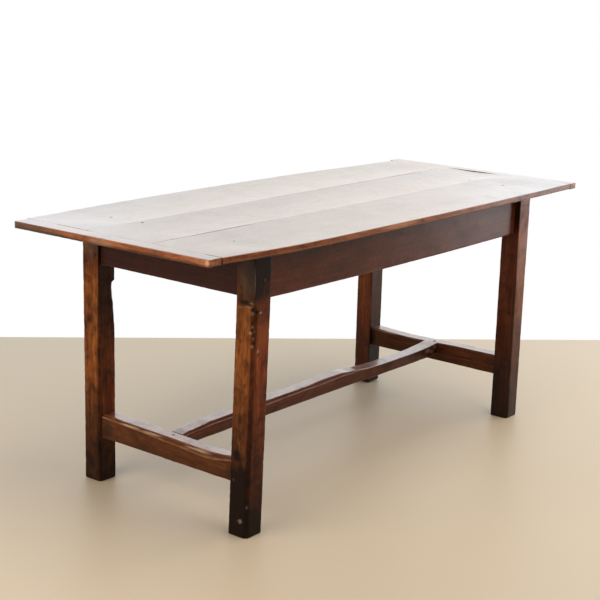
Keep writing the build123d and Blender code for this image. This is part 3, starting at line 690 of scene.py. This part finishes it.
def makePlank(name, bow, joints, tongues, seed, edges=(1, 1)):
    # joints gives a side, 1 for high and 3 for low, its joint's number and whether it has the tongue, and
    # any other side bows. tongues is the y range of each end's tongue, and edges the shares of the length
    # where the hollow of the face has run out.
    counts = top["points"]

    def ringAt(s):
        corners = [top["lowArris"]] * 2 + [top["highArris"]] * 2
        sides, opened, shaped = {}, {}, {}
        for k, way in ((1, 1), (3, -1)):
            if k not in joints:
                sides[k] = way * top["half"] * smoothRow(bow, s)
                continue
            number, tongued = joints[k]
            play = 0 if tongued else top["play"]
            opened[k] = follow(top["open"][number], s * top["reach"])
            gap = mix(top["gapShut"], top["gapOpen"], opened[k])
            sides[k] = top["joints"][number] - way * gap
            depth = gap + top["edgeTongue"] if tongued else gap - (top["edgeTongue"] + play)
            shaped[k] = jointSide(sides[k], way * depth, play)[::way]
            arris = mix(top["arrisShut"], top["arrisOpen"], opened[k])
            for corner in ((1, 2) if k == 1 else (0, 3)):
                corners[corner] = (arris, arris, 1)
        y0, y1 = sides[3], sides[1]
        ring = section(y0, y1, top["low"], top["high"], corners, counts, 4, shaped, top["guard"])
        rows = []
        for y, z, arris in ring:
            drop = 0
            if aboveTongue(z):
                # The hollow runs out over the last fifth of the way to an end.
                over, fade = (y - y0) / (y1 - y0), ease((edges[s > 0] - abs(s)) * 5)
                drop = top["cup"] * fade * max(0, 4 * over * (1 - over)) ** (3 - 2 * fade)
            for k, openness in opened.items():
                arris = jointArris(arris, y - sides[k], openness, z)
            rows.append((s * shoulder(s, y), y, z - drop, arris))
        return rows

    def tongueRing(end, reach):
        y0, y1 = tongues[end]
        # as many points as jointSide gives
        spread = dict.fromkeys(joints, (0.1, 0.2, 0.4, 0.6, 0.8, 0.9))
        ring = plug(y0, y1, top["tongueLow"], top["tongueHigh"], counts, 4, spread)
        return [(end * (shoulder(end, y) + reach), y, z, arris) for y, z, arris in ring]

    rings = [tongueRing(-1, top["endTongue"]), tongueRing(-1, 0)]
    rings += [ringAt(s) for s in steps(-1, 1, top["gap"] / top["reach"])]
    rings += [tongueRing(1, 0), tongueRing(1, top["endTongue"])]
    buildPiece("plank_" + name, [rings], ["waxPolishedOakTop", "handRubbedOakEdge"],
               topWork(top["marks"]), topShade, seed)


def makeTop():
    front, back = top["joints"]
    tongue, groove, stop = top["edgeTongue"], top["edgeTongue"] + top["play"], cleats["tongueStop"]
    ends = ((-1, cleats["left"]), (1, cleats["right"]))
    makePlank("front", top["frontBow"], {1: (0, False)},
              {end: (stop - cleat["front"], front - groove) for end, cleat in ends}, 11)
    makePlank("middle", None, {1: (1, True), 3: (0, True)},
              dict.fromkeys((-1, 1), (front - tongue, back + tongue)), 12, (1, 1.12))
    makePlank("back", top["backBow"], {3: (1, False)},
              {end: (back + groove, cleat["back"] - stop) for end, cleat in ends}, 13)


def makeCleat(name, cleat):
    end = cleat["end"]
    low, high = -cleat["front"], cleat["back"]
    inside = 1 if end < 0 else 3  # the side of the section that meets the planks
    stop = cleats["tongueStop"] - top["play"]
    grooveEnds, rings = (low + stop, high - stop), []

    def addRing(y, grooved):
        openness, away = follow(cleat["open"], y), min(y - low, high - y)
        pull, tuck = roundOff(cleats["corner"], away), roundOff(cleats["softEnd"], away)
        outer = end * (across(top["ends"][end > 0], y) - pull)
        shrinkage = mix(*cleats["shrinkage"], openness)
        inner = end * (shoulder(end, y) + shrinkage)
        depth = top["endTongue"] + top["play"] - shrinkage
        side = jointSide(inner, end * depth * grooved, top["play"])
        joint = mix(top["arrisShut"], top["arrisOpen"], openness)
        corners = [(joint, joint, 1)] * 4
        worn = handCut(cleats["arris"], 0.2, y / 50, cleat["seed"], 0)
        for k in ((0, 3) if end < 0 else (1, 2)):
            corners[k] = (worn, worn * 0.85, 1)
        ring = section(min(outer, inner), max(outer, inner), top["low"] + tuck, top["high"] - tuck,
                       corners, cleats["points"], 4, {inside: side[::-end]}, top["guard"])
        rings.append([(x, y, z, jointArris(arris, x - inner, openness, z)) for x, z, arris in ring])

    extra = [place for d in cleats["endSteps"] for place in (low + d, high - d)]
    first, last = (round(place, 4) for place in grooveEnds)
    for y in steps(low, high, cleats["gap"], (*extra, *grooveEnds)):
        if y == last:
            addRing(y, 1)
        addRing(y, grooveEnds[0] < y < grooveEnds[1] and y != last)
        if y == first:
            addRing(y, 1)
    buildPiece("cleat_" + name, [rings], ["waxPolishedOakCleat", "handRubbedOakCleatEdge"],
               topWork(cleat["marks"]), cleatShade(cleat), cleat["seed"])


makeTop()
makeCleat("left", cleats["left"])
makeCleat("right", cleats["right"])
print("stage: top")

stretchers = {
    "left": {
        "middle": -638, "thickness": 42, "low": 130, "high": 197, "hollow": 5.5, "seed": 21,
        # share of the length between the legs from the front, depth share
        "tread": ((0.03, 0), (0.12, 0.5), (0.22, 1), (0.33, 0.74), (0.46, 0.5), (0.67, 0.25), (0.92, 0)),
        # share, bevel inward and downward on the upper arris at low x
        "inward": ((0, 6), (0.2, 5), (0.46, 5), (0.76, 6), (1, 7)),
        "downward": ((0, 11), (0.2, 20), (0.46, 16), (0.76, 10), (1, 7)),
        "marks": (
            # The three thin pale marks along the bevel are painted highlights.
            ((-642, -25, 192), (9, 7, 8), 0.8, 0, 0.8), ((-658, 138, 190), (4, 50, 3), 0.2, 0.7, 0),
            ((-656, 60, 188), (5, 56, 4), 0.3, 0.6, 0), ((-657, -112, 185), (5, 60, 4), 0.4, 0.65, 0),
            ((-660, -60, 150), (6, 60, 5), 0.5, 0, 0.4), ((-660, 225, 160), (6, 28, 30), 0, 0, 0.5),
            ((-660, -235, 160), (6, 30, 30), 0, 0, 0.4),
        ),
    },
    "right": {
        "middle": 636, "thickness": 46, "low": 140, "high": 203.5, "hollow": 5, "seed": 22,
        "tread": ((0.3, 0), (0.45, 0.4), (0.68, 1), (0.86, 0.55), (0.97, 0)),
        "inward": ((0, 4.5), (1, 4.5)), "downward": ((0, 4.5), (1, 4.5)),
        # The pale mark along the upper arris is a painted highlight, and the dark one by the back leg a
        # painted shadow.
        "marks": (((613, 160, 199), (5, 75, 3), 0.1, 0.5, 0), ((613, 242, 172), (6, 18, 40), 0, 0, 0.9)),
    },
    "centre": {
        "low": 164, "high": 210, "middle": -2.5, "thickness": 46, "crown": 12, "from": -617, "to": 613,
        # share of half the length, share of the crown that is gone there
        "fall": ((-1.02, 1.3), (-0.95, 0.95), (-0.8, 0.5), (-0.42, 0.33), (-0.15, 0.25), (0.05, 0.03),
                 (0.14, 0), (0.25, 0.5), (0.38, 0.88), (0.56, 1), (0.75, 0.95), (1.0, 0.7)),
        # place along x, chamfer on the arris that faces the front
        "chamfer": ((-617, 7), (-430, 9), (-261, 9.5), (-124, 8), (21, 10.5), (97, 8.5), (165, 3),
                    (200, 2.2), (613, 2.2)),
        "tenon": 27, "under": 6, "over": 25, "tenonThick": 34, "seed": 23, "swell": (180, 90, 120),
        # place along x, how much wider and how much lower the piece is there
        "splay": ((430, 0), (600, 5)), "sink": ((150, 0), (300, 2.5), (480, 3.5), (560, 3), (613, 0)),
        "marks": (
            ((556, -26, 185), (20, 8, 9), 1.6, 0.25, 0), ((582, -26, 178), (14, 8, 9), 1.2, 0.15, 0.2),
            ((566, -26, 169), (20, 8, 8), 1.8, 0, 0.8), ((598, -25, 190), (9, 8, 6), 1.2, 0.4, 0),
            ((370, -26, 184), (130, 9, 40), 0, 0, 0.35),
            ((604, -25, 176), (12, 8, 12), 1.4, 0, 0.8), ((500, -26, 184), (110, 9, 30), 0.2, 0, 0.5),
        ),
    },
    # Both end ones: half the length between the legs, tenon and shoulders, and a swell's run.
    "ends": {"half": 249, "tenon": 36, "tenonThick": 16, "under": 9, "over": 9, "swell": (120, 150, 120)},
    "gap": 7, "points": (8, 11), "arris": 2.2, "darkening": 0.25, "darkFull": 135, "darkFrom": 175, "ruddy": 0.4,
}


def treadShade(place, normal):
    # The sides darken towards the bottom; the treads stay clear of it.
    return darkByHeight(stretchers, place.z), stretchers["ruddy"]


def makeStretcher(name, bar, axis, ends, shapeAt, finish):
    # shapeAt gives how much wider the bar is at a place, its low and high, and its two upper corners.
    counts, middle = stretchers["points"], bar["middle"]
    half, thick = bar["thickness"] / 2, bar["tenonThick"] / 2

    def sectionAt(at):
        worn = handCut(stretchers["arris"], 0.2, at / 50, bar["seed"], 0)
        wider, low, high, upper = shapeAt(at)
        corners = [(worn, worn, 0.8), (worn, worn, 0.8), *upper]
        return section(middle - half, middle + half + wider, low, high, corners, counts, 6)

    ring = plug(middle - thick, middle + thick, bar["low"] + bar["under"], bar["high"] - bar["over"],
                counts, 6)
    tenon = (bar["tenon"], ring)
    rings = member(axis, steps(*ends, stretchers["gap"]), sectionAt, tenon, tenon)
    wear = handWork(0.5, 0.6, bar["seed"], bar["marks"], bar["swell"])
    buildPiece("stretcher_" + name, [rings], finish, wear, treadShade, bar["seed"])


def makeEndStretcher(name):
    bar = {**stretchers["ends"], **stretchers[name]}
    half = bar["half"]

    def shapeAt(y):
        share = (y + half) / (2 * half)
        high = bar["high"] - bar["hollow"] * smoothRow(bar["tread"], min(1, max(0, share)))
        bevel = (follow(bar["inward"], share), follow(bar["downward"], share), 0.45)
        return 0, bar["low"], min(bar["high"], high), ((2.6, 2.2, 1), bevel)

    finish = ["footPolishedOakEndTread", "agedOakEndStretcher"]
    makeStretcher(name, bar, 1, (-half, half), shapeAt, finish)


def makeCentreStretcher():
    bar = stretchers["centre"]
    half = (bar["to"] - bar["from"]) / 2

    def shapeAt(x):
        sink, crown = follow(bar["sink"], x), bar["crown"] * follow(bar["fall"], x / half)
        cut = handCut(follow(bar["chamfer"], x), 0.08, x / 60, 0, bar["seed"])
        upper = ((2.4, 2.2, 1), (cut, cut, mix(0.25, 1, ease((4 - cut) / 2))))
        return follow(bar["splay"], x), bar["low"] - sink, bar["high"] - crown - sink, upper

    finish = ["footPolishedOakMiddleTread", "agedOakMiddleStretcher"]
    makeStretcher("centre", bar, 0, (bar["from"], bar["to"]), shapeAt, finish)


makeEndStretcher("left")
makeEndStretcher("right")
makeCentreStretcher()
print("stage: stretchers")

# Whittled pegs. A kind is diameter, length in the wood, and how far the head stands out, taper is in
# degrees, and cleat gives the places of a cleat's pegs along y.
pegs = {
    "leg": (10, 52, 0.5), "bar": (10, 44, 0), "board": (10, 62, 0), "tongue": (7, 15, 0),
    "taper": 0.6, "flats": 8, "cleat": (-243.5, 3, 246.5),
}
# Kind, way into the wood, and the places of the heads' middles on the wood's face.
pegGroups = {
    "rail_front": ("leg", (0, 1, 0), [(-633, -310, 670), (633, -310, 670)]),
    "rail_back": ("leg", (0, -1, 0), [(-633, 310, 670), (633, 310, 670)]),
    "rail_left": ("leg", (1, 0, 0), [(-668, -263, 650), (-668, 263, 650)]),
    "rail_right": ("leg", (-1, 0, 0), [(668, -263, 650), (668, 263, 650)]),
    "stretcher_left": ("leg", (1, 0, 0), [(-682.4, -263, 150), (-668, 263, 150)]),
    "stretcher_right": ("leg", (-1, 0, 0), [(668, -263, 160), (668, 263, 160)]),
    "stretcher_centre": ("bar", (0, 0, -1), [(-634, -2.5, 194.3), (630, -2.5, 201.4)]),
    "top_left": ("board", (0, 0, -1), [(-646.5, y, z) for y, z in top["pegHeads"]]),
    "top_right": ("board", (0, 0, -1), [(646.5, y, z) for y, z in top["pegHeads"]]),
    "cleat_left": ("tongue", (0, 0, 1), [(-shoulder(-1, y) - 10, y, 741) for y in pegs["cleat"]]),
    "cleat_right": ("tongue", (0, 0, 1), [(shoulder(1, y) + 10, y, 741) for y in pegs["cleat"]]),
}


def makePegs(name, kind, way, places, seed):
    diameter, length, proud = pegs[kind]
    into, heads, shells = Vector(way), [Vector(place) for place in places], []
    side = Vector((0, 0, 1)) if abs(into.z) < 0.5 else Vector((1, 0, 0))
    other = into.cross(side)
    for i, head in enumerate(heads):
        # depth in the wood, share of the radius
        rows = [(-proud, 0.3), (-proud, 0.66), (0.12 - proud, 0.88), (0.5 - proud, 1),
                (length * 0.4, 1), (length - 2, 1), (length, 0.7)]
        rings = []
        for depth, share in rows:
            radius = (diameter / 2 - max(0, depth) * tan(radians(pegs["taper"]))) * share
            ring = []
            for p in range(2 * pegs["flats"]):
                angle = p * pi / pegs["flats"] + i
                # a flat's middle lies nearer than its edges
                flat = radius * (1 if p % 2 == 0 else 0.945 - 0.02 * uneven(p, i, seed))
                point = head + into * depth + (side * cos(angle) + other * sin(angle)) * flat
                ring.append((*point, hidden))
            rings.append(ring)
        shells.append(rings)

    # Each head darkens towards its rim, a painted shadow line where it meets the wood.
    def pegShade(place, normal):
        away = min((place - head).length for head in heads)
        return ease((away - 0.3 * diameter) / (0.16 * diameter)), 0

    buildPiece("pegs_" + name, shells, ["darkOakPeg"], handWork(0, 0, 0), pegShade, seed)


for number, (name, group) in enumerate(pegGroups.items()):
    makePegs(name, *group, 31 + number)
print("stage: pegs")

# Place in metres, angles in degrees, focal length and image side in pixels.
camera = {"place": (-3.0900, -2.3839, 1.4207), "yaw": 38.60, "pitch": 13.942, "roll": 1.579,
          "focal": 1344.38, "image": 600}


def makeCamera():
    yaw, pitch, roll = (radians(camera[k]) for k in ("yaw", "pitch", "roll"))
    ahead = Vector((cos(pitch) * cos(yaw), cos(pitch) * sin(yaw), -sin(pitch)))
    right = ahead.cross(Vector((0, 0, 1))).normalized()
    up = right.cross(ahead)
    side = right * cos(roll) + up * sin(roll)
    above = up * cos(roll) - right * sin(roll)
    data = bpy.data.cameras.new("viewpoint")
    data.sensor_width = 36
    data.lens = 36 * camera["focal"] / camera["image"]
    eye = addObject("viewpoint", data)
    turn = Matrix((side, above, -ahead)).transposed().to_4x4()
    eye.matrix_world = Matrix.Translation(camera["place"]) @ turn
    bpy.context.scene.camera = eye


studio = {
    # metres: two points of the line where the floor ends, how far it goes on beyond them, its depth
    "floor": "#d5c4aa", "wallFrom": (-1.6, 3.43), "wallTo": (4.6, -3.13), "floorMargin": 4,
    "floorReach": 9,
    # light levels, and the compass ways in degrees from x to y with (level, upward) parts
    "worldDiffuse": 0.3, "darkSide": 0.06, "brightSide": 1.06, "brightEdge": (-0.1, 0.3),
    "wall": "#f7fbff", "brightWay": (48.0, 1, 0.25),
    "dimWall": "#e5dfd8", "dimWay": (39.2, 0.994, 0.11), "dimEdge": (0.98325, 0.99756),
}


def makeFloor():
    a, b = Vector((*studio["wallFrom"], 0)), Vector((*studio["wallTo"], 0))
    along = (b - a).normalized()
    a, b = a - along * studio["floorMargin"], b + along * studio["floorMargin"]
    mesh = bpy.data.meshes.new("studioFloor")
    reach = along.cross(Vector((0, 0, 1))).normalized() * studio["floorReach"]
    mesh.from_pydata([a, b, b + reach, a + reach], [], [(0, 1, 2, 3)])
    floor = addObject("studioFloor", mesh)
    material = bpy.data.materials.new("plainPaleFloor")
    material.use_nodes = True
    shader = material.node_tree.nodes["Principled BSDF"]
    shader.inputs["Base Color"].default_value = linear(studio["floor"])
    shader.inputs["Roughness"].default_value = 0.45
    mesh.materials.append(material)


def makeWorld():
    # White behind the table for the eye and for reflections, dark on the side of the camera.
    world = bpy.data.worlds.new("studioWorld")
    bpy.context.scene.world = world
    world.use_nodes = True
    world.node_tree.nodes.clear()
    add = partial(addNode, world.node_tree)
    way = add("TexCoord")

    def facing(aim, edge, low, high):
        # Goes from low to high as a direction turns towards an aim.
        angle, level, upward = radians(aim[0]), aim[1], aim[2]
        dot = add("VectorMath", {"operation": "DOT_PRODUCT",
                                 1: (level * cos(angle), level * sin(angle), upward)},
                  {0: (way, "Generated")})
        return add("MapRange", {"interpolation_type": "SMOOTHSTEP", "From Min": edge[0],
                                "From Max": edge[1], "To Min": low, "To Max": high},
                   {"Value": (dot, "Value")})

    sector = facing(studio["brightWay"], studio["brightEdge"], studio["darkSide"], studio["brightSide"])
    # A slightly greyer stretch of wall, which shows in the middle of the top's shine.
    greyShare = facing(studio["dimWay"], studio["dimEdge"], 0, 1)
    wall = add("Mix", {"data_type": "RGBA", "A_Color": linear(studio["wall"]),
                       "B_Color": linear(studio["dimWall"])}, {"Factor_Float": (greyShare, "Result")})
    light = add("LightPath")
    reflected = add("Mix", {"A_Float": studio["worldDiffuse"]},
                    {"Factor_Float": (light, "Is Glossy Ray"), "B_Float": (sector, "Result")})
    strength = add("Mix", {"B_Float": 1.0},
                   {"Factor_Float": (light, "Is Camera Ray"), "A_Float": (reflected, "Result_Float")})
    colour = add("Mix", {"data_type": "RGBA", "B_Color": (1, 1, 1, 1)},
                 {"Factor_Float": (light, "Is Camera Ray"), "A_Color": (wall, "Result_Color")})
    background = add("Background", None,
                     {"Color": (colour, "Result_Color"), "Strength": (strength, "Result_Float")})
    add("OutputWorld", None, {"Surface": (background, "Background")})


lamps = {
    # place, aimed at, width and height in metres, power in watts, colour
    "whiteWall": ((0.92, 0.88, 1.25), (0, 0, 1.25), 7, 2.5, 23, "#fbffff"),
    "ceiling": ((0.5, -1.1, 2.7), (0.4, -0.5, 0), 3, 2.2, 40, "#fff6ea"),
    "leftWindow": ((-2.4, 0.3, 1.2), (-0.6, 0, 0.4), 1.8, 1.6, 25, "#fff1e0"),
    "frontFill": ((0.4, -4.2, 2), (0.2, -0.3, 0.4), 3, 2, 50, "#fff4e8"),
    "rightWall": ((2.35, -1.15, 0.8), (0.64, -0.31, 0.5), 1, 1.6, 10, "#ffffff"),
}


def makeLamps():
    for name, (place, aim, width, height, power, colour) in lamps.items():
        data = bpy.data.lights.new(name, "AREA")
        data.shape = "RECTANGLE"
        data.size, data.size_y = width, height
        data.energy = power
        data.color = linear(colour)[:3]
        lamp = addObject(name, data)
        lamp.visible_camera = False
        lamp.location = place
        lamp.rotation_euler = (Vector(aim) - Vector(place)).to_track_quat("-Z", "Y").to_euler()


makeCamera()
makeFloor()
makeWorld()
makeLamps()
bpy.context.scene.view_settings.view_transform = "Standard"
print("stage: camera, floor and light")
